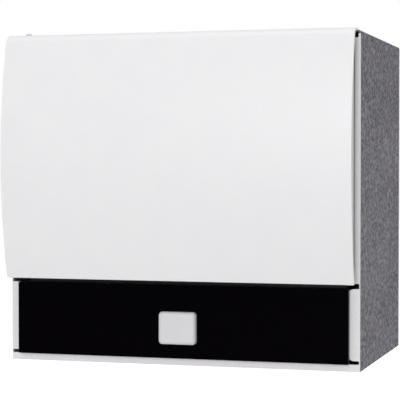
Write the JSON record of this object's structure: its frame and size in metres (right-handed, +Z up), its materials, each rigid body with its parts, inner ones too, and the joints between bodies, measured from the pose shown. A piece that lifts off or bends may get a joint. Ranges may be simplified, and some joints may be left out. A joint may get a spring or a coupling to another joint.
{
  "type": "touchless towel dispenser",
  "caption": "Wall-mounted roll-towel dispenser with a bowed drop-down cover, a dark sensor fascia, a push pad and a geared motor feed.",
  "frame": {"origin": "on the wall plane at the centre of the four wall holes, which is also the cabinet's mid height", "axes": "+X to the viewer's right, +Y into the wall, +Z up; the cabinet stands out towards -Y"},
  "size_m": [0.33, 0.241, 0.303],
  "materials": {
    "grey_enamel": "mid-grey baked enamel with a fine stipple",
    "pale_enamel": "pale grey baked enamel, satin",
    "white_abs": "white moulded plastic, satin with a faint grain",
    "black_acrylic": "black infra-red window plastic, semi-gloss",
    "pad_plastic": "pale moulded plastic, satin",
    "zinc_sheet": "zinc-plated sheet steel",
    "bright_steel": "bright drawn steel",
    "lock_metal": "dark nickel-plated zinc casting",
    "black_nylon": "black moulded nylon",
    "natural_nylon": "natural acetal, satin",
    "grey_nylon": "grey moulded plastic",
    "arm_plastic": "pale grey moulded plastic",
    "roller_rubber": "dark ground rubber",
    "board_green": "green solder-resist laminate",
    "lamp_resin": "dark clear resin",
    "motor_can": "zinc-plated drawn steel",
    "brass": "turned brass",
    "cell_sleeve": "plain dark sleeve on a steel can",
    "towel_paper": "soft absorbent paper",
    "core_card": "wound grey-brown card"
  },
  "bodies": {
    "cabinet": {"cabinet_wrap": "grey_enamel", "back_plate": "zinc_sheet", "floor_pan": "zinc_sheet", "front_frame": "pale_enamel", "hinge_bracket_left": "zinc_sheet", "hinge_bracket_right": "zinc_sheet", "hinge_pins": "bright_steel", "lock_keeper": "zinc_sheet", "fascia": "black_acrylic", "fascia_base": "black_nylon", "fascia_rail": "black_nylon", "fascia_screws": "bright_steel", "pad_guide": "black_nylon", "pad_spring": "bright_steel", "feed_switch": "black_nylon", "control_board": "board_green", "board_parts": "black_nylon", "sensor_lamps": "lamp_resin", "board_screws": "bright_steel", "chassis_left": "zinc_sheet", "chassis_right": "zinc_sheet", "chassis_screws": "bright_steel", "feed_bushes": "natural_nylon", "idler_stud": "bright_steel", "gear_motor": "motor_can", "carrier_rod": "bright_steel", "carrier_springs": "bright_steel", "towel_chute": "black_nylon", "tear_bar": "bright_steel", "battery_tray": "black_nylon", "battery_cells": "cell_sleeve", "battery_contacts": "brass", "roll_arm_left": "arm_plastic", "hub_left": "natural_nylon", "arm_bracket": "zinc_sheet", "arm_pin": "bright_steel", "arm_spring": "bright_steel"},
    "cover": {"cover": "white_abs", "lock_barrel": "lock_metal"},
    "lock": {"lock_plug": "lock_metal"},
    "pad": {"feed_pad": "pad_plastic", "pad_clip": "bright_steel"},
    "feed": {"feed_shaft": "bright_steel", "feed_roller": "roller_rubber", "feed_gear": "natural_nylon", "feed_knob": "black_nylon"},
    "idler": {"idler_gear": "natural_nylon"},
    "pinion": {"motor_shaft": "bright_steel", "motor_pinion": "brass"},
    "carrier": {"pinch_carrier": "black_nylon", "pinch_shaft": "bright_steel"},
    "pinch": {"pinch_roller": "grey_nylon"},
    "roll": {"towel_roll": "towel_paper", "roll_core": "core_card"},
    "arm": {"roll_arm_right": "arm_plastic", "hub_right": "natural_nylon"}
  },
  "joints": [
    {"name": "cover_hinge", "type": "hinge", "parent": "cabinet", "child": "cover", "pos_m": [0, -0.219, -0.065], "axis": [1, 0, 0], "range_deg": [0, 90]},
    {"name": "lock_turn", "type": "hinge", "parent": "cover", "child": "lock", "pos_m": [-0.145, -0.2154, 0.14], "axis": [0, 0, 1], "range_deg": [0, 90]},
    {"name": "pad_press", "type": "slide", "parent": "cabinet", "child": "pad", "axis": [0, 1, 0], "range_m": [0, 0.004], "stiffness_N_per_m": 500, "deforming": ["pad_spring"]},
    {"name": "feed_spin", "type": "hinge", "parent": "cabinet", "child": "feed", "pos_m": [0, -0.16, -0.102], "axis": [1, 0, 0], "continuous": true},
    {"name": "idler_spin", "type": "hinge", "parent": "cabinet", "child": "idler", "pos_m": [-0.12, -0.12829, -0.11354], "axis": [1, 0, 0], "continuous": true},
    {"name": "pinion_spin", "type": "hinge", "parent": "cabinet", "child": "pinion", "pos_m": [-0.12, -0.10613, -0.11745], "axis": [1, 0, 0], "continuous": true},
    {"name": "carrier_swing", "type": "hinge", "parent": "cabinet", "child": "carrier", "pos_m": [0, -0.118, -0.082], "axis": [1, 0, 0], "range_deg": [0, 10], "stiffness_Nm_per_rad": 0.8},
    {"name": "pinch_spin", "type": "hinge", "parent": "carrier", "child": "pinch", "pos_m": [0, -0.133, -0.102], "axis": [1, 0, 0], "continuous": true},
    {"name": "roll_spin", "type": "hinge", "parent": "cabinet", "child": "roll", "pos_m": [0, -0.112, 0.04], "axis": [1, 0, 0], "continuous": true},
    {"name": "arm_release", "type": "hinge", "parent": "cabinet", "child": "arm", "pos_m": [0.112, -0.0125, 0.04], "axis": [0, 0, 1], "range_deg": [0, 15], "stiffness_Nm_per_rad": 1}
  ],
  "couplings": [
    {"joint": "idler_spin", "follows": "feed_spin", "ratio": -1.25},
    {"joint": "pinion_spin", "follows": "feed_spin", "ratio": 2.5},
    {"joint": "pinch_spin", "follows": "feed_spin", "ratio": -1.5238}
  ]
}
